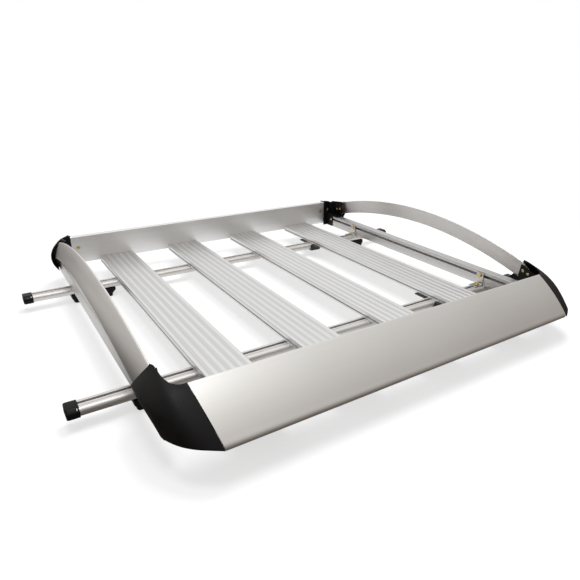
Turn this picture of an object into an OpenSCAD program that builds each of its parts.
// Roof cargo basket: a slatted aluminium tray with an air-deflecting front
// panel, arched side bands and moulded corners, carried on two T-slot
// crossbars that clamp to a vehicle's raised roof rails.
// Millimetres. +Z up, -Y to the front of the vehicle. Left (-X) and right (+X)
// are as seen by a viewer who faces the deflector. The origin lies on the floor
// plane under the basket's centre.

/* [Basket] */
// Overall length, deflector nose to the rear corners
basket_l = 988; // [970:1:1010]
// Height of the slat tops above the floor plane
deck_z = 58; // [58:0.5:62]
// Width of one slat
slat_w = 96; // [92:1:100]
// Thickness of one slat
slat_t = 18; // [17:0.5:18]
// Centre of the first slat (negative side, outer)
slat_1_x = -322; // [-326:1:-316]
// Centre of the second slat
slat_2_x = -113; // [-120:1:-105]
// Centre of the third slat
slat_3_x = 103; // [98:1:120]
// Centre of the fourth slat (positive side, outer)
slat_4_x = 320; // [316:1:326]
// Height of the rear rail
rear_rail_h = 78; // [76:1:80]

/* [Side arches] */
// Thickness of the arched band
arch_t = 3.4; // [3:0.2:3.6]
// Segments along each arched band
arch_n = 44; // [24:2:60]

/* [Crossbars] */
// Overall crossbar length, with its end caps
bar_l = 1200; // [1180:5:1240]
// Depth of the crossbar's section, front to back
bar_d = 31; // [30.5:0.5:32]
// Height of the crossbar's section
bar_h = 17.5; // [17.3:0.1:17.7]
// Position of the front crossbar
bar_front_y = -233; // [-245:1:-200]
// Position of the rear crossbar
bar_rear_y = 308; // [270:1:320]

/* [Roof rail clamps] */
// Distance of each clamp's centre from the middle of the crossbar
foot_x = 433; // [425:1:440]
// Diameter of the roof rail that the clamp holds
roof_rail_d = 28; // [26:1:28]
// Length of a clamp along the crossbar
foot_l = 112; // [110:1:116]

/* [Hidden] */
$fn = 64;

ALU = [0.80, 0.80, 0.81];
ALU_DARK = [0.66, 0.65, 0.65];
BLACK = [0.10, 0.10, 0.11];
BRASS = [0.80, 0.64, 0.30];
RUBBER = [0.06, 0.06, 0.06];
STEEL = [0.62, 0.63, 0.65];

// Fore and aft planes
y_rear = basket_l / 2;              // outermost rear face
y_rear_rail = y_rear - 22;          // front face of the rear rail
y_front = -basket_l / 2;            // nose of the deflector
// Heights
slat_z = deck_z - slat_t;           // underside of the slats
bar_top = slat_z - 0.2;             // top of the crossbars
bar_z = bar_top - bar_h;            // underside of the crossbars
// Side rails
rail_in = 460.5;                    // inner face
rail_out = 486.5;                   // outer face
rail_z = deck_z - 17.8;
rail_top = deck_z + 20.8;
rail_slot_z = deck_z + 8.5;         // middle of the T-slot
rail_front = y_front + 96;
rail_rear = y_rear - 42;

// ---------------------------------------------------------------- helpers
function lerp(from, to, share) = from + (to - from) * share;
function clamp01(value) = max(0, min(1, value));
function smooth(share) = share * share * (3 - 2 * share);
// Cubic Bezier through four control points
function bezier(ctrl, share) = pow(1 - share, 3) * ctrl[0]
    + 3 * pow(1 - share, 2) * share * ctrl[1]
    + 3 * (1 - share) * share * share * ctrl[2] + share * share * share * ctrl[3];
function unit(vector) = vector / norm(vector);
// Two triangles for a four-cornered face
function quad(a, b, c, d) = [[a, b, c], [a, c, d]];

// Prism along X from a (y, z) profile
module along_x(x0, x1) {
    translate([x0, 0, 0]) rotate([90, 0, 90]) linear_extrude(x1 - x0) children();
}
// Prism along Y from an (x, z) profile
module along_y(y0, y1) {
    translate([0, y1, 0]) rotate([90, 0, 0]) linear_extrude(y1 - y0) children();
}
// Cylinders that start at the origin and run towards +X or +Y
module rod_x(r, h) {
    rotate([0, 90, 0]) cylinder(r = r, h = h);
}
module rod_y(r, h) {
    rotate([-90, 0, 0]) cylinder(r = r, h = h);
}
module box(low, high) {
    translate(low) cube(high - low);
}
// Children are drawn on the +X side; side = -1 mirrors them
module sided(side) {
    if (side < 0) mirror([1, 0, 0]) children();
    else children();
}
// Turns the children's Z axis to a direction in the XZ plane
module aim(point, direction) {
    translate(point) rotate([0, atan2(direction[0], direction[2]), 0]) children();
}

// ---------------------------------------------------------------- fasteners
module hexagon(across_flats, h) {
    cylinder(r = across_flats / sqrt(3), h = h, $fn = 6);
}
// Flanged hexagon bolt with a dished head; the shank points down
module hex_bolt(shank) {
    across_flats = 10;
    head_h = 4.2;
    difference() {
        union() {
            cylinder(r = 6.2, h = 1);
            translate([0, 0, 0.9]) hexagon(across_flats, head_h - 0.9);
        }
        translate([0, 0, head_h - 0.6]) cylinder(r = across_flats / 2 - 1.6, h = 1);
    }
    translate([0, 0, -shank]) cylinder(r = 3, h = shank + 0.1);
}
module pan_screw(shank, head_r = 4.3, shank_r = 2.1) {
    translate([0, 0, -shank]) cylinder(r = shank_r, h = shank + 0.1);
    cylinder(r = head_r, h = 1.2);
    translate([0, 0, 1.1]) cylinder(r1 = head_r, r2 = head_r - 1.4, h = 1.1);
}
// Square nut for a slot, on its underside
nut_t = 3.2;
module slot_nut(width = 14) {
    translate([-width / 2, -width / 2, 0]) cube([width, width, nut_t]);
}

// ---------------------------------------------------------------- slats
slat_edge_r = 2.5;                  // rounded upper edges
slat_floor = 2;                     // wall under the cavities
slat_roof = 3;                      // wall over the cavities
port_x = 14;                        // screw ports, off the slat's centre
port_z = 12.6;                      // height of the ports above its underside
channel_x = 35;                     // clamp channels, off the slat's centre
channel_w = 18;
shelf_screw_x = 23.5;               // deflector screws, off the slat's centre
shelf_screw_y = y_front + 46;
slat_centres = [slat_1_x, slat_2_x, slat_3_x, slat_4_x];

module slat_2d() {
    half_w = slat_w / 2;
    cavity_h = slat_t - slat_floor - slat_roof;
    upper_z = 10.2;                 // floor of the cavity over each channel
    difference() {
        union() {
            translate([-half_w, 0]) square([slat_w, slat_t - slat_edge_r]);
            translate([-half_w + slat_edge_r, 0]) square([slat_w - 2 * slat_edge_r, slat_t]);
            for (side = [-1, 1])
                translate([side * (half_w - slat_edge_r), slat_t - slat_edge_r])
                    circle(r = slat_edge_r);
        }
        // three cavities, parted by two ribs that carry the screw ports
        translate([-21, slat_floor]) square([5, cavity_h]);
        translate([16, slat_floor]) square([5, cavity_h]);
        translate([-10, slat_floor]) square([20, cavity_h]);
        for (side = [-1, 1]) {
            translate([side * port_x, port_z]) circle(r = 1.9);
            // clamp channel with its slot in the underside
            translate([side * channel_x - channel_w / 2, 2.2]) square([channel_w, 6.4]);
            translate([side * channel_x - 4.5, -1]) square([9, 4]);
            translate([side * channel_x - channel_w / 2, upper_z])
                square([channel_w, slat_t - upper_z - slat_roof]);
            // finger line along each side face
            translate([side * half_w - 1, 5.4]) square([2, 2.6]);
        }
        // five shallow grooves along the top
        for (i = [-2:2]) translate([i * 17.5, slat_t])
            polygon([[-5, 0.1], [-4, -1], [4, -1], [5, 0.1]]);
    }
}
module slat(x) {
    color(ALU) translate([x, 0, slat_z]) difference() {
        along_y(y_front + 39, y_rear_rail - 0.3) slat_2d();
        for (side = [-1, 1]) translate([side * shelf_screw_x, shelf_screw_y, 6])
            cylinder(r = 2, h = slat_t);
        // seat for the deflector's shelf
        box([-slat_w, y_front + 30, slat_t - 0.2], [slat_w, y_front + 53, slat_t + 5]);
    }
}
// Puts the children at offset (x, y, z) on both sides of every slat's centre
module at_slats(offset) {
    for (x = slat_centres, side = [-1, 1])
        translate([x + side * offset[0], offset[1], offset[2]]) children();
}
// Screws through the rear rail into the slats' ports
module slat_screws_rear() {
    color(STEEL) at_slats([port_x, y_rear_rail, slat_z + port_z]) rotate([-90, 0, 0]) {
        translate([0, 0, -18]) cylinder(r = 1.8, h = 20.8);
        translate([0, 0, 2.7]) cylinder(r = 3.4, h = 2.2);
    }
}
// Screws from the deflector's shelf down into the slats' top walls
module slat_screws_front() {
    color(STEEL) at_slats([shelf_screw_x, shelf_screw_y, deck_z]) {
        translate([0, 0, 2.9]) cylinder(r = 3.6, h = 2);
        translate([0, 0, -10]) cylinder(r = 1.9, h = 13.1);
    }
}

// ---------------------------------------------------------------- rear rail
rear_rail_z = deck_z - 11.8;
rear_rail_top = rear_rail_z + rear_rail_h;
rear_rail_half = 444;               // half length
rear_rail_d = 18;                   // front to back
rear_rail_edge_r = 1.2;             // rounded upper front edge
lug_screw_x = 426;                  // screw into the rear bracket's lug
lug_screw_z = deck_z + 34;

module rear_rail() {
    half = rear_rail_half;
    lip = 2.4;                      // thickness of the top and of its rear lip
    back = y_rear_rail + rear_rail_d;
    edge_y = y_rear_rail + rear_rail_edge_r;
    edge_z = rear_rail_top - rear_rail_edge_r;
    color(ALU_DARK) difference() {
        union() {
            box([-half, y_rear_rail, rear_rail_z], [half, y_rear_rail + 2.6, edge_z]);
            box([-half, edge_y, rear_rail_top - lip], [half, back, rear_rail_top]);
            translate([-half, edge_y, edge_z]) rod_x(r = rear_rail_edge_r, h = 2 * half);
            box([-half, y_rear_rail, rear_rail_z], [half, back, rear_rail_z + 2]);
            box([-half, back - lip, rear_rail_top - 9], [half, back, rear_rail_top]);
        }
        at_slats([port_x, y_rear_rail - 1, slat_z + port_z]) rod_y(r = 2.2, h = 6);
        for (side = [-1, 1]) translate([side * lug_screw_x, y_rear_rail - 1, lug_screw_z])
            rod_y(r = 2.2, h = 6);
    }
}

// ---------------------------------------------------------------- deflector
// (y, z) points: the outer face is an arc through its top edge and its nose
fairing_top = [rail_front, deck_z + 71.2];
fairing_low = [y_front + 4.7, deck_z + 6.4];
fairing_sag = 4;                    // rise of the arc over its chord
fairing_t = 2.6;
fairing_half = 442;                 // half length along the top edge
fairing_slope = 0.253;              // how much the ends draw in per mm of drop
fairing_chord = norm(fairing_top - fairing_low);
fairing_r = (fairing_chord * fairing_chord / 4 + fairing_sag * fairing_sag)
    / (2 * fairing_sag);
fairing_normal = [fairing_low[1] - fairing_top[1], fairing_top[0] - fairing_low[0]]
    / fairing_chord;
fairing_centre = (fairing_top + fairing_low) / 2 - fairing_normal * (fairing_r - fairing_sag);
fairing_top_angle = fairing_angle(fairing_top);
fairing_low_angle = fairing_angle(fairing_low);

function fairing_angle(point) = let (arm = point - fairing_centre) atan2(arm[1], arm[0]);
// Ring sector about the deflector's centre of curvature
module fairing_arc(inner_r, outer_r, angle0, angle1) {
    reach = 2 * outer_r;
    translate(fairing_centre) intersection() {
        difference() {
            circle(r = outer_r, $fn = 360);
            circle(r = inner_r, $fn = 360);
        }
        polygon([[0, 0], reach * [cos(angle0), sin(angle0)],
            reach * [cos(angle1), sin(angle1)]]);
    }
}
module fairing_2d() {
    edge_r = 1.2;
    fairing_arc(fairing_r - fairing_t, fairing_r, fairing_top_angle, fairing_low_angle);
    // rolled nose and the shelf that sits on the slats
    translate([y_front + 8, deck_z + 4.1]) circle(r = 3.9);
    translate([y_front + 8, deck_z + 0.2]) square([44, 2.6]);
    // stiffening return behind the top edge
    translate([fairing_top[0] - 1.6, fairing_top[1] - 12]) square([2.4, 12]);
    translate([fairing_top[0] - 0.4, fairing_top[1] - edge_r]) circle(r = edge_r);
}
// Everything beyond the deflector's slanted end; x is taken at the top edge
module fairing_end_cut(x) {
    translate([x, 0, fairing_top[1]]) rotate([0, atan(fairing_slope), 0])
        translate([0, -600, -300]) cube([120, 800, 500]);
}
module front_fairing() {
    color(ALU) difference() {
        along_x(-470, 470) fairing_2d();
        for (side = [-1, 1]) sided(side) fairing_end_cut(fairing_half);
        at_slats([shelf_screw_x, shelf_screw_y, deck_z - 1]) cylinder(r = 2.4, h = 5);
    }
}

// ---------------------------------------------------------------- side rails
// Screws that hold the corner brackets to the side rails: front, rear
rail_screws_y = [rail_front + 20, y_rear_rail - 31];

module side_rail_2d() {
    width = rail_out - rail_in;
    height = rail_top - rail_z;
    slot_z = rail_slot_z - rail_z;
    edge_r = 2;
    wall = 2.4;
    slot_half = 6.4;                // half height of the slot's wide part
    difference() {
        union() {
            square([width, height - edge_r]);
            translate([1, 0]) square([width - 1 - edge_r, height]);
            translate([width - edge_r, height - edge_r]) circle(r = edge_r);
        }
        // T-slot on the inner face
        translate([-1, slot_z - 3.4]) square([5, 6.8]);
        translate([wall, slot_z - slot_half]) square([7, 2 * slot_half]);
        // hollow chambers
        translate([11.4, slot_z - slot_half]) square([width - 13.6, height - slot_z + 3.6]);
        translate([wall, wall]) square([width - 2 * wall, slot_z - 11]);
        // two fine lines along the top
        for (x = [8, 17]) translate([x, height - 0.7]) square([1.2, 1]);
    }
}
module side_rail(side) {
    color(ALU) sided(side) difference() {
        translate([rail_in, 0, rail_z]) along_y(rail_front, rail_rear) side_rail_2d();
        for (y = rail_screws_y) translate([rail_in - 1, y, rail_slot_z])
            rod_x(r = 3.6, h = 5);
    }
}

// ---------------------------------------------------------------- arches
// run goes from the front end (negative) over the crown to the rear end;
// the band's lower and upper edges are quadratic curves of it
arch_run_front = -0.74;
arch_run_rear = 0.94;
function arch_y(run) = y_rear_rail - 481.7 + 481.7 * run;
function arch_low(run) = [503.2 + 2.3 * run - 12.4 * run * run, arch_y(run),
    deck_z + 80.1 + 25.2 * run - 91.9 * run * run];
function arch_high(run) = [481.8 + 4.9 * run - 5.6 * run * run, arch_y(run),
    deck_z + 128.2 + 18.5 * run - 90.9 * run * run];
// Outward normal of the band
function arch_out(run) = let (rise = arch_high(run) - arch_low(run))
    unit([rise[2], 0, -rise[0]]);
// Share of the height where the band ends: both ends are cut back at the top,
// where the corners cover them, and the front end also at the bottom
function arch_cut(run) = 1 - 0.42 * clamp01((-0.668 - run) / 0.072)
    - 0.3 * clamp01((run - 0.885) / 0.055);
function arch_foot(run) = 0.07 * clamp01((-0.655 - run) / 0.03);
function arch_point(run, share, depth) =
    lerp(arch_low(run), arch_high(run), share) + arch_out(run) * depth;
// Section, a flat band with eased edges: [share of height, share of half thickness]
arch_ring = [
    [0, 0.4], [0.02, 1], [0.98, 1], [1, 0.4],
    [1, -0.4], [0.98, -1], [0.02, -1], [0, -0.4]
];
// Screws through the band's ends: [point, outward direction]
function arch_screw(run, share) = [arch_point(run, share, 0), arch_out(run)];
arch_screws_front = [arch_screw(-0.680, 0.71), arch_screw(-0.7085, 0.67)];
arch_screws_rear = [arch_screw(0.882, 0.55), arch_screw(0.92, 0.55)];

module arch_screw_holes(screws) {
    for (screw = screws) aim(screw[0], screw[1])
        translate([0, 0, -20]) cylinder(r = 2.3, h = 40);
}
module arch(side) {
    n = len(arch_ring);
    last = arch_n * n;
    runs = [for (i = [0:arch_n]) lerp(arch_run_front, arch_run_rear, i / arch_n)];
    points = [for (run = runs, corner = arch_ring)
        arch_point(run, lerp(arch_foot(run), arch_cut(run), corner[0]),
            corner[1] * arch_t / 2)];
    caps = [for (j = [1:n - 2]) each [[0, j, j + 1], [last, last + j + 1, last + j]]];
    walls = [for (i = [0:arch_n - 1], j = [0:n - 1]) let (next = (j + 1) % n) each
        quad(i * n + j, (i + 1) * n + j, (i + 1) * n + next, i * n + next)];
    color(ALU_DARK) sided(side) difference() {
        polyhedron(points = points, faces = concat(caps, walls), convexity = 6);
        arch_screw_holes(concat(arch_screws_front, arch_screws_rear));
    }
}

// ---------------------------------------------------------------- corner shells
// A moulded skin lofted from the end of the deflector (or rear rail) to the end
// of the arched band. turn runs round the corner from the middle of the basket
// outwards, rise from the bottom to the top, both 0 to 1.
shell_t = 2.2;
shell_turns = 16;                   // facets round the corner
shell_rises = 9;                    // facets from bottom to top

// Bezier control points (x, y, z) of the edges, and of the bulge in mm
front_bottom_ctrl = [
    [fairing_half - 15.7, y_front + 1.6, deck_z + 4],
    [459.8, y_front + 18.2, deck_z + 8.9],
    [482.9, y_front + 25.4, deck_z + 10.2],
    [492.1, y_front + 86.7, deck_z - 5]
];
front_bottom_end = [490.6, y_front + 217, deck_z + 1];
front_bend = 0.62;                  // turn where the bottom edge becomes straight
front_top_ctrl = [
    [fairing_half + 1.2, fairing_top[0] + 0.6, fairing_top[1] + 0.9],
    [481.2, fairing_top[0] + 8.7, fairing_top[1] - 7.2],
    [468.5, fairing_top[0] + 58.1, fairing_top[1] + 17.4],
    [478.2, y_front + 160.5, fairing_top[1] + 9.3]
];
front_bulge_ctrl = [3.5, 4, 27.1, 16.1];
front_ridge = 0.38;                 // rise of the ridge
rear_bottom_ctrl = [
    [rear_rail_half + 0.4, y_rear, deck_z - 13], [474, y_rear, deck_z - 13],
    [490.6, y_rear - 14, deck_z - 13], [490.6, y_rear - 58, deck_z - 13]
];
rear_top_ctrl = [
    [rear_rail_half + 0.4, y_rear, rear_rail_top + 3],
    [466, y_rear - 1, rear_rail_top - 3],
    [483, y_rear - 38, rear_rail_top - 0.5],
    [485.6, y_rear - 95, rear_rail_top + 13.8]
];
rear_bulge_ctrl = [1, 7.5, 18, 19.5];

function bow(rise) = 4 * rise * (1 - rise);
function ridge(rise) = rise < front_ridge
    ? 1 - pow(1 - rise / front_ridge, 1.4)
    : 1 - pow((rise - front_ridge) / (1 - front_ridge), 1.25);

function front_bottom(turn) = turn < front_bend
    ? bezier(front_bottom_ctrl, turn / front_bend)
    : lerp(front_bottom_ctrl[3], front_bottom_end, (turn - front_bend) / (1 - front_bend));
function front_dir(turn) = let (angle = 90 * smooth(turn))
    unit([sin(angle), -0.58 * cos(angle), lerp(1.35, 0.12, smooth(turn))]);
// A smooth bow at the front turns into a ridge at the back, where the skin
// wraps the lower edge of the arched band
function front_skin(turn, rise) =
    lerp(front_bottom(turn), bezier(front_top_ctrl, turn), rise)
    + front_dir(turn) * bezier(front_bulge_ctrl, turn)
        * lerp(bow(rise), ridge(rise), pow(smooth(turn), 2));

function rear_dir(turn) = let (angle = 90 * smooth(turn)) unit([sin(angle), cos(angle), 0.1]);
function rear_skin(turn, rise) =
    lerp(bezier(rear_bottom_ctrl, turn), bezier(rear_top_ctrl, turn), rise)
    + rear_dir(turn) * bezier(rear_bulge_ctrl, turn) * bow(rise);

function skin(front, turn, rise) = front ? front_skin(turn, rise) : rear_skin(turn, rise);
// Outward normal, from differences along the skin
function skin_normal(front, turn, rise) =
    let (step = 0.01,
        along = skin(front, min(turn + step, 1), rise) - skin(front, max(turn - step, 0), rise),
        up = skin(front, turn, min(rise + step, 1)) - skin(front, turn, max(rise - step, 0)),
        normal = unit(cross(along, up)))
    front ? normal : -normal;

module corner_shell(front, side) {
    row = shell_rises + 1;                  // points in one row, bottom to top
    inside = (shell_turns + 1) * row;       // index of the first inner point
    end = shell_turns * row;                // index of the last row's first point
    grid = [for (i = [0:shell_turns], j = [0:shell_rises])
        [i / shell_turns, j / shell_rises]];
    outer = [for (at = grid) skin(front, at[0], at[1])];
    inner = [for (at = grid)
        skin(front, at[0], at[1]) - shell_t * skin_normal(front, at[0], at[1])];
    // the front skin turns the other way, so its faces are wound in reverse
    function face(a, b, c, d) = front ? quad(a, d, c, b) : quad(a, b, c, d);
    skins = [for (i = [0:shell_turns - 1], j = [0:shell_rises - 1])
        let (a = i * row + j, b = a + row, k = inside) each concat(
            face(a, b, b + 1, a + 1),
            face(k + a, k + a + 1, k + b + 1, k + b))];
    bottom_and_top = [for (i = [0:shell_turns - 1])
        let (a = i * row, b = a + row, c = a + shell_rises, d = c + row) each concat(
            face(a, inside + a, inside + b, b),
            face(c, d, inside + d, inside + c))];
    ends = [for (j = [0:shell_rises - 1]) let (a = end + j, k = inside) each concat(
        face(j, j + 1, k + j + 1, k + j),
        face(a, k + a, k + a + 1, a + 1))];
    color(BLACK) sided(side) polyhedron(points = concat(outer, inner),
        faces = concat(skins, bottom_and_top, ends), convexity = 6);
}

// ---------------------------------------------------------------- corner brackets
plate_t = 3;
bracket_z = rail_top + 0.3;         // underside of the webs over the side rail
web_top = bracket_z + plate_t;
flange_out = rail_in - 0.2;         // plates against the side rail's inner face
flange_in = flange_out - plate_t;
// Plates leaning against the arched bands: [inner face's x at the foot, lean per mm]
front_lean = [486.3, 0.385];
rear_lean = [485.6, 0.33];
end_screw_x = 461;                  // screw in the rear closing plate
end_screw_z = deck_z + 38;
bracket_hole_r = 2.3;

module lean_plate(y0, y1, lean, top, thickness = plate_t) {
    foot = lean[0];
    shift = lean[1] * (top - bracket_z);
    along_y(y0, y1) polygon([[foot, bracket_z], [foot + thickness, bracket_z],
        [foot + thickness - shift, top], [foot - shift, top]]);
}
// How far the plate's inner face lies behind a screw point in the band
function lean_gap(screw, lean) =
    (screw[0][0] - lean[0] + lean[1] * (screw[0][2] - bracket_z))
    / (screw[1][0] + lean[1] * screw[1][2]) + 0.12;
module rail_screw_hole(y) {
    translate([rail_in - 6, y, rail_slot_z]) rod_x(r = bracket_hole_r, h = 10);
}
module corner_bracket_front(side) {
    top = fairing_top[1];
    plate_front = rail_front + 2;
    color(BLACK) sided(side) difference() {
        union() {
            // plate inside the band's end
            intersection() {
                lean_plate(plate_front, y_front + 172, front_lean, top + 8);
                along_x(400, 520) polygon([
                    [plate_front, rail_top], [y_front + 184, rail_top],
                    [y_front + 170, rail_top + 22], [y_front + 161, top + 0.6],
                    [y_front + 155, top - 1.4], [y_front + 145, top - 8],
                    [y_front + 128, top - 14], [plate_front, top - 16]]);
            }
            // web over the side rail, running forward behind the deflector
            translate([0, 0, bracket_z]) linear_extrude(plate_t) polygon([
                [404, y_front + 29.5], [430, y_front + 29.5], [457, y_front + 62],
                [472, y_front + 88], [481, rail_front + 6], [487, rail_front + 14],
                [487, y_front + 150], [flange_in, y_front + 150],
                [flange_in, y_front + 104], [404, y_front + 60]]);
            // tongue that plugs in behind the deflector's skin
            difference() {
                along_x(404, 446) fairing_arc(fairing_r - fairing_t - 3.2,
                    fairing_r - fairing_t - 0.2, fairing_top_angle + 3, fairing_low_angle - 4);
                fairing_end_cut(fairing_half + 0.4);
            }
            // plate that bolts to the side rail's slot
            box([flange_in, plate_front, rail_z + 3], [flange_out, rail_front + 40, web_top]);
        }
        arch_screw_holes(arch_screws_front);
        rail_screw_hole(rail_screws_y[0]);
    }
}
module corner_bracket_rear(side) {
    inner_x = rear_rail_half + 0.4;         // clear of the rear rail's end
    back = y_rear_rail - 0.2;
    top = rear_rail_top;
    lug_low = deck_z + 22;
    lug_high = deck_z + 46;
    lug_back = y_rear_rail + 5.8;
    color(BLACK) sided(side) difference() {
        union() {
            // plate inside the band's end
            intersection() {
                lean_plate(y_rear - 97, y_rear_rail - 0.4, rear_lean, top + 15);
                along_x(400, 520) polygon([
                    [y_rear - 70, rail_top], [y_rear - 89, rail_top + 16],
                    [y_rear - 96, top + 14.4], [y_rear_rail - 14, top + 5.3],
                    [y_rear_rail - 14, rail_top]]);
            }
            // plate closing the corner beside the end of the rear rail
            difference() {
                along_y(y_rear_rail - 3, back) polygon([
                    [inner_x, rail_z - 0.5], [474, rail_z - 0.5], [479, rail_z + 1],
                    [482, rail_z + 4], [483.5, rail_z + 9], [488, rail_z + 26],
                    [488, top - 1.3], [inner_x, top + 6.4]]);
                lean_plate(y_rear_rail - 10, y_rear_rail + 10, [481, rear_lean[1]],
                    top + 16, thickness = 40);
            }
            // web over the side rail and plate against its inner face
            box([flange_in, y_rear - 84, bracket_z], [487.6, back, web_top]);
            box([flange_in, y_rear_rail - 36, rail_z + 1], [flange_out, back, web_top]);
            // lug reaching behind the rear rail's front wall
            box([rear_rail_half - 32, y_rear_rail + 2.8, lug_low],
                [rear_rail_half + 6, lug_back, lug_high]);
            box([inner_x, y_rear_rail - 3, lug_low], [rear_rail_half + 6, lug_back, lug_high]);
        }
        arch_screw_holes(arch_screws_rear);
        rail_screw_hole(rail_screws_y[1]);
        translate([end_screw_x, y_rear_rail - 5, end_screw_z]) rod_y(r = bracket_hole_r, h = 20);
        translate([lug_screw_x, y_rear_rail - 1, lug_screw_z]) rod_y(r = 2.0, h = 20);
    }
}
// Screws from inside a leaning plate out into the arched band
module arch_screws(screws, lean) {
    for (screw = screws) {
        gap = lean_gap(screw, lean);
        aim(screw[0] - screw[1] * gap, -screw[1]) pan_screw(gap + 1.5);
    }
}
// Brass-plated pan-head screws at the four corners
module corner_screws() {
    color(BRASS) for (side = [-1, 1]) sided(side) {
        arch_screws(arch_screws_front, front_lean);
        arch_screws(arch_screws_rear, rear_lean);
        for (y = rail_screws_y) translate([flange_in - 0.1, y, rail_slot_z])
            rotate([0, -90, 0]) pan_screw(9);
        translate([end_screw_x, y_rear_rail - 3.1, end_screw_z]) rotate([90, 0, 0]) pan_screw(9);
        translate([lug_screw_x, y_rear_rail - 0.1, lug_screw_z]) rotate([90, 0, 0])
            pan_screw(9, head_r = 5.2, shank_r = 1.95);
    }
}

// ---------------------------------------------------------------- crossbars
bar_half_d = bar_d / 2;
bar_end = bar_l / 2;                // outer face of an end cap
bar_half = bar_end - 3;             // half length of the bar itself
bar_nose_r = 8;                     // rounded front of the section
bar_edge_r = 2;                     // eased rear edges
bar_slot_y = 5;                     // top slot, behind the section's middle
cap_l = 22;

// (y, z) section, grown by a margin for the end caps' sockets
module bar_outline(margin = 0) {
    nose_y = -bar_half_d + bar_nose_r;
    edge_y = bar_half_d - bar_edge_r;
    translate([nose_y, -margin])
        square([bar_d - bar_nose_r - bar_edge_r, bar_h + 2 * margin]);
    for (z = [bar_h - bar_nose_r, bar_nose_r])
        translate([nose_y, z]) circle(r = bar_nose_r + margin);
    translate([-bar_half_d - margin, bar_nose_r]) square([12, bar_h - 2 * bar_nose_r]);
    translate([bar_half_d - 6, bar_edge_r]) square([6 + margin, bar_h - 2 * bar_edge_r]);
    for (z = [bar_h - bar_edge_r, bar_edge_r])
        translate([edge_y, z]) circle(r = bar_edge_r + margin);
}
module crossbar_2d() {
    difference() {
        bar_outline();
        // top T-slot: mouth and wide part
        translate([bar_slot_y - 3.4, bar_h - 3]) square([6.8, 4]);
        translate([bar_slot_y - 8.6, bar_h - 7]) square([17.2, 4.8]);
        // fine groove ahead of the slot
        translate([bar_slot_y - 9.4, bar_h - 0.5]) square([1, 1]);
        // underside T-slot: mouth and wide part
        translate([-5.2, -1]) square([10.4, 4]);
        translate([-8.8, 2.2]) square([17.6, 4.8]);
    }
}
module crossbar(y) {
    color(ALU) translate([0, y, bar_z]) along_x(-bar_half, bar_half) crossbar_2d();
}
module end_cap(y, side) {
    half_d = bar_half_d;
    color(BLACK) sided(side) translate([0, y, bar_z]) difference() {
        intersection() {
            along_x(bar_end - cap_l, bar_end) polygon([
                [-half_d - 1.4, 4.5], [-half_d + 2.5, -1.3],
                [half_d - 0.5, -1.3], [half_d + 1.3, 0.8],
                [half_d + 1.3, bar_h - 0.6], [half_d - 0.5, bar_h + 1.3],
                [-half_d + 7, bar_h + 1.3], [-half_d - 1.4, bar_h - 5]]);
            // eased outer rim
            translate([bar_end - 40, 0, 0]) linear_extrude(60, center = true) polygon([
                [0, -half_d - 3], [37.6, -half_d - 3], [40, -half_d + 0.4],
                [40, half_d - 0.4], [37.6, half_d + 3], [0, half_d + 3]]);
        }
        along_x(bar_end - cap_l - 1, bar_half + 0.1) bar_outline(0.1);
    }
}

// ---------------------------------------------------------------- rail brackets
// Angles between the crossbars' top slots and the side rails' inner slots
angle_t = 3;
angle_half_w = 11;
angle_out = rail_in - 0.3;          // face towards the side rail
angle_in = angle_out - angle_t;
angle_z = bar_top + 0.1;
angle_bolt_x = 449;                 // bolt into the crossbar
angle_hole_r = 3.3;

module rail_bracket(y, side) {
    color(STEEL) sided(side) translate([0, y + bar_slot_y, 0]) difference() {
        union() {
            box([rail_in - 29, -angle_half_w, angle_z],
                [angle_out, angle_half_w, angle_z + angle_t]);
            box([angle_in, -angle_half_w, angle_z], [angle_out, angle_half_w, rail_slot_z + 8]);
            // fillet in the bend
            along_y(-angle_half_w, angle_half_w) polygon([
                [rail_in - 5, bar_top + 3], [rail_in - 3, bar_top + 3],
                [rail_in - 3, bar_top + 5], [rail_in - 3.3, bar_top + 4.8]]);
        }
        translate([angle_bolt_x, 0, bar_top - 1]) cylinder(r = angle_hole_r, h = 6);
        translate([rail_in - 5, 0, rail_slot_z]) rod_x(r = angle_hole_r, h = 8);
    }
}
module rail_bracket_bolts(y) {
    color(BRASS) for (side = [-1, 1]) sided(side) translate([0, y + bar_slot_y, 0]) {
        // into the crossbar's top slot
        translate([angle_bolt_x, 0, angle_z + angle_t + 0.1]) hex_bolt(8);
        translate([angle_bolt_x, 0, bar_top - 6.2]) slot_nut();
        // into the side rail's slot
        translate([angle_in - 0.1, 0, rail_slot_z]) rotate([0, -90, 0]) hex_bolt(10);
        translate([rail_in + 4.4, -7, rail_slot_z - 6]) cube([3.6, 14, 12]);
    }
}

// ---------------------------------------------------------------- slat clamps
// Saddles under the crossbars, bolted up into the outer slats' inner channels
clamp_t = 3;
clamp_fit = 0.5;                    // gap in front of and behind the bar
clamp_bolt_dx = 3;                  // bolts, outwards of the clamp's middle
clamp_bolt_dy = bar_half_d + 20;    // bolts, off the bar's middle
clamp_wing = 36;                    // length of a wing, front to back

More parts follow.
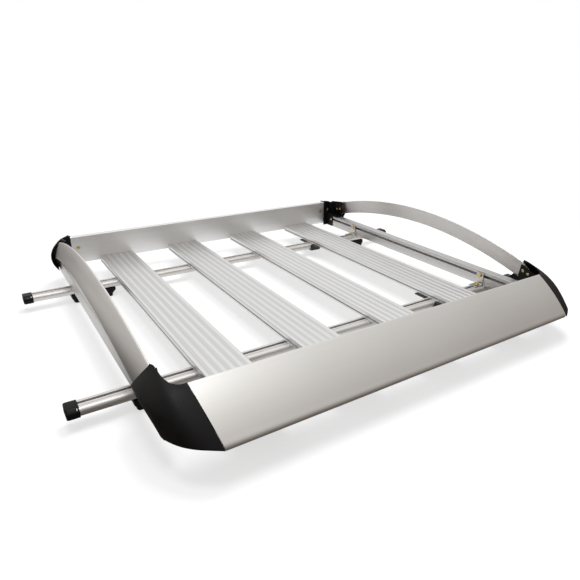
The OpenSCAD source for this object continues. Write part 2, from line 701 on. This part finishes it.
function clamp_x(side) = (side < 0 ? -slat_1_x : slat_4_x) - channel_x - clamp_bolt_dx;
module slat_clamp(y, side) {
    reach = bar_half_d + clamp_fit;
    base_z = bar_z - 3.3;
    color(BLACK) sided(side) translate([clamp_x(side), y, 0]) difference() {
        along_x(-17, 17) union() {
            translate([-reach - clamp_t, base_z]) square([2 * (reach + clamp_t), clamp_t]);
            for (wall_y = [-reach - clamp_t, reach])
                translate([wall_y, base_z]) square([clamp_t, bar_h + 2.9]);
            for (wing_y = [-bar_half_d - clamp_wing, reach])
                translate([wing_y, slat_z - 3.2]) square([clamp_wing, clamp_t]);
        }
        for (end = [-1, 1]) translate([clamp_bolt_dx, end * clamp_bolt_dy, slat_z - 6])
            cylinder(r = 3.3, h = 8);
    }
}
module slat_clamp_bolts(y) {
    color(BRASS) for (side = [-1, 1], end = [-1, 1]) sided(side)
        translate([clamp_x(side) + clamp_bolt_dx, y + end * clamp_bolt_dy, 0]) {
            translate([0, 0, slat_z - 3.3]) rotate([180, 0, 0]) hex_bolt(7.6);
            translate([0, 0, slat_z + 2.7]) slot_nut();
        }
}

// ---------------------------------------------------------------- feet
// One roof rail clamp: body under the crossbar, rubber pad, sliding jaw and
// clamp bolt. Drawn about its own middle, with the outer end towards +X.
foot_half = foot_l / 2;
foot_z = bar_z - 0.2;               // top of a foot
foot_half_w = 16;                   // half width, front to back
jaw_top = 8;                        // top of the jaw when closed
saddle_z = jaw_top - 4.6;           // centre of the roof rail opening
saddle_r = roof_rail_d / 2 + 2;     // opening in the foot, with room for the pad
bolt_dx = -36;                      // clamp bolt, towards the middle of the bar
bolt_hole_r = 4.3;
tongue_dx = 44;                     // jaw's guide tongue, towards the bar's end
foot_screws_dx = [-21.6, 26];       // bolts into the crossbar's underside slot

module at_foot(y, side) {
    sided(side) translate([foot_x, y, 0]) children();
}
// Places a cylinder's base on the roof rail's axis, at y, pointing to the front
module at_saddle(y) {
    translate([0, y, saddle_z]) rotate([90, 0, 0]) children();
}
module foot(y, side) {
    color(BLACK) at_foot(y, side) difference() {
        along_y(-foot_half_w, foot_half_w) polygon([
            [-foot_half, foot_z], [-foot_half, foot_z - 5],
            [-foot_half + 9, jaw_top + 0.2], [foot_half - 4, jaw_top + 0.2],
            [foot_half, jaw_top + 5], [foot_half, foot_z]]);
        // saddle for the roof rail
        at_saddle(30) cylinder(r = saddle_r, h = 60);
        // clamp bolt and its captive nut
        translate([bolt_dx, 0, 0]) cylinder(r = bolt_hole_r, h = 40);
        translate([bolt_dx, 0, jaw_top + 1.6]) hexagon(13.2, 6.8);
        // guide for the jaw's tongue
        box([tongue_dx - 2.8, -8.3, 0], [tongue_dx + 2.8, 8.3, foot_z + 1]);
        // fixing bolts into the crossbar
        for (x = foot_screws_dx) translate([x, 0, 0]) {
            cylinder(r = 3.2, h = 40);
            cylinder(r = 5.6, h = foot_z - 5);
        }
        // lightening grooves on the long sides
        for (end = [-1, 1])
            box([-foot_half + 9, end * foot_half_w - 1.2, foot_z - 6],
                [foot_half - 9, end * foot_half_w + 1.2, foot_z - 3]);
    }
}
module foot_pad(y, side) {
    color(RUBBER) at_foot(y, side) difference() {
        at_saddle(foot_half_w) difference() {
            cylinder(r = saddle_r - 0.05, h = 2 * foot_half_w);
            translate([0, 0, -1]) cylinder(r = roof_rail_d / 2, h = 2 * foot_half_w + 2);
        }
        // open below, down from just above the jaw
        box([-30, -30, saddle_z - 60], [30, 30, jaw_top + 0.3]);
    }
}
module foot_jaw(y, side) {
    color(BLACK) at_foot(y, side) difference() {
        union() {
            along_y(-15.5, 15.5) polygon([
                [-foot_half + 9, 4], [-foot_half + 11, 0], [foot_half - 8, 0],
                [foot_half - 4, 4], [foot_half - 4, jaw_top], [-foot_half + 9, jaw_top]]);
            // guide tongue
            box([tongue_dx - 2.5, -8, jaw_top - 1], [tongue_dx + 2.5, 8, foot_z - 0.4]);
        }
        // shallow seat for the roof rail
        at_saddle(30) intersection() {
            cylinder(r = saddle_r, h = 60);
            translate([-30, jaw_top - 3 - saddle_z, -1]) cube([60, 30, 70]);
        }
        // clamp bolt: clearance hole and a pocket for its head
        translate([bolt_dx, 0, -1]) cylinder(r = bolt_hole_r, h = 40);
        translate([bolt_dx, 0, -1]) cylinder(r = 9.2, h = 6.8);
        // hollows in the underside, with ribs between them
        for (x = [-14, 7, 28]) box([x - 7, -11, -1], [x + 7, 11, 2.6]);
    }
}
module clamp_bolt(y, side) {
    shank_z = 5.6;
    color(STEEL) at_foot(y, side) translate([bolt_dx, 0, 0]) {
        difference() {
            union() {
                translate([0, 0, 4.7]) cylinder(r = 8.2, h = 1);
                translate([0, 0, 0.6]) hexagon(13, 4.2);
            }
            // hexagon socket
            translate([0, 0, -1]) hexagon(6, 4);
        }
        translate([0, 0, shank_z]) cylinder(r = 3.95, h = bar_z + 6 - shank_z);
    }
}
// Captive nut and the two bolts that hold the body in the underside slot
module foot_nuts(y, side) {
    color(STEEL) at_foot(y, side) {
        translate([bolt_dx, 0, jaw_top + 1.8]) difference() {
            hexagon(13, 6.4);
            translate([0, 0, -1]) cylinder(r = 4.0, h = 10);
        }
        for (x = foot_screws_dx) translate([x, 0, 0]) {
            translate([0, 0, foot_z - 8.4]) cylinder(r = 5.0, h = 3.2);
            translate([0, 0, foot_z - 5.3]) cylinder(r = 3, h = 10.9);
            translate([0, 0, bar_z + 2.8]) slot_nut(15);
        }
    }
}

front_fairing();
rear_rail();
side_rail(-1);  // side_rail_left
side_rail(1);  // side_rail_right
arch(-1);  // arch_left
arch(1);  // arch_right
slat(slat_1_x);  // slat_1
slat(slat_2_x);  // slat_2
slat(slat_3_x);  // slat_3
slat(slat_4_x);  // slat_4
corner_shell(true, -1);  // corner_shell_front_left
corner_shell(true, 1);  // corner_shell_front_right
corner_shell(false, -1);  // corner_shell_rear_left
corner_shell(false, 1);  // corner_shell_rear_right
corner_bracket_front(-1);  // corner_bracket_front_left
corner_bracket_front(1);  // corner_bracket_front_right
corner_bracket_rear(-1);  // corner_bracket_rear_left
corner_bracket_rear(1);  // corner_bracket_rear_right
corner_screws();
slat_screws_rear();
slat_screws_front();
crossbar(bar_front_y);  // crossbar_front
crossbar(bar_rear_y);  // crossbar_rear
end_cap(bar_front_y, -1);  // end_cap_front_left
end_cap(bar_front_y, 1);  // end_cap_front_right
end_cap(bar_rear_y, -1);  // end_cap_rear_left
end_cap(bar_rear_y, 1);  // end_cap_rear_right
rail_bracket(bar_front_y, -1);  // rail_bracket_front_left
rail_bracket(bar_front_y, 1);  // rail_bracket_front_right
rail_bracket(bar_rear_y, -1);  // rail_bracket_rear_left
rail_bracket(bar_rear_y, 1);  // rail_bracket_rear_right
rail_bracket_bolts(bar_front_y);  // rail_bracket_bolts_front
rail_bracket_bolts(bar_rear_y);  // rail_bracket_bolts_rear
slat_clamp(bar_front_y, -1);  // slat_clamp_front_left
slat_clamp(bar_front_y, 1);  // slat_clamp_front_right
slat_clamp(bar_rear_y, -1);  // slat_clamp_rear_left
slat_clamp(bar_rear_y, 1);  // slat_clamp_rear_right
slat_clamp_bolts(bar_front_y);  // slat_clamp_bolts_front
slat_clamp_bolts(bar_rear_y);  // slat_clamp_bolts_rear
foot(bar_front_y, -1);  // foot_front_left
foot(bar_front_y, 1);  // foot_front_right
foot(bar_rear_y, -1);  // foot_rear_left
foot(bar_rear_y, 1);  // foot_rear_right
foot_pad(bar_front_y, -1);  // foot_pad_front_left
foot_pad(bar_front_y, 1);  // foot_pad_front_right
foot_pad(bar_rear_y, -1);  // foot_pad_rear_left
foot_pad(bar_rear_y, 1);  // foot_pad_rear_right
foot_jaw(bar_front_y, -1);  // foot_jaw_front_left
foot_jaw(bar_front_y, 1);  // foot_jaw_front_right
foot_jaw(bar_rear_y, -1);  // foot_jaw_rear_left
foot_jaw(bar_rear_y, 1);  // foot_jaw_rear_right
foot_nuts(bar_front_y, -1);  // foot_nuts_front_left
foot_nuts(bar_front_y, 1);  // foot_nuts_front_right
foot_nuts(bar_rear_y, -1);  // foot_nuts_rear_left
foot_nuts(bar_rear_y, 1);  // foot_nuts_rear_right
clamp_bolt(bar_front_y, -1);  // clamp_bolt_front_left
clamp_bolt(bar_front_y, 1);  // clamp_bolt_front_right
clamp_bolt(bar_rear_y, -1);  // clamp_bolt_rear_left
clamp_bolt(bar_rear_y, 1);  // clamp_bolt_rear_right
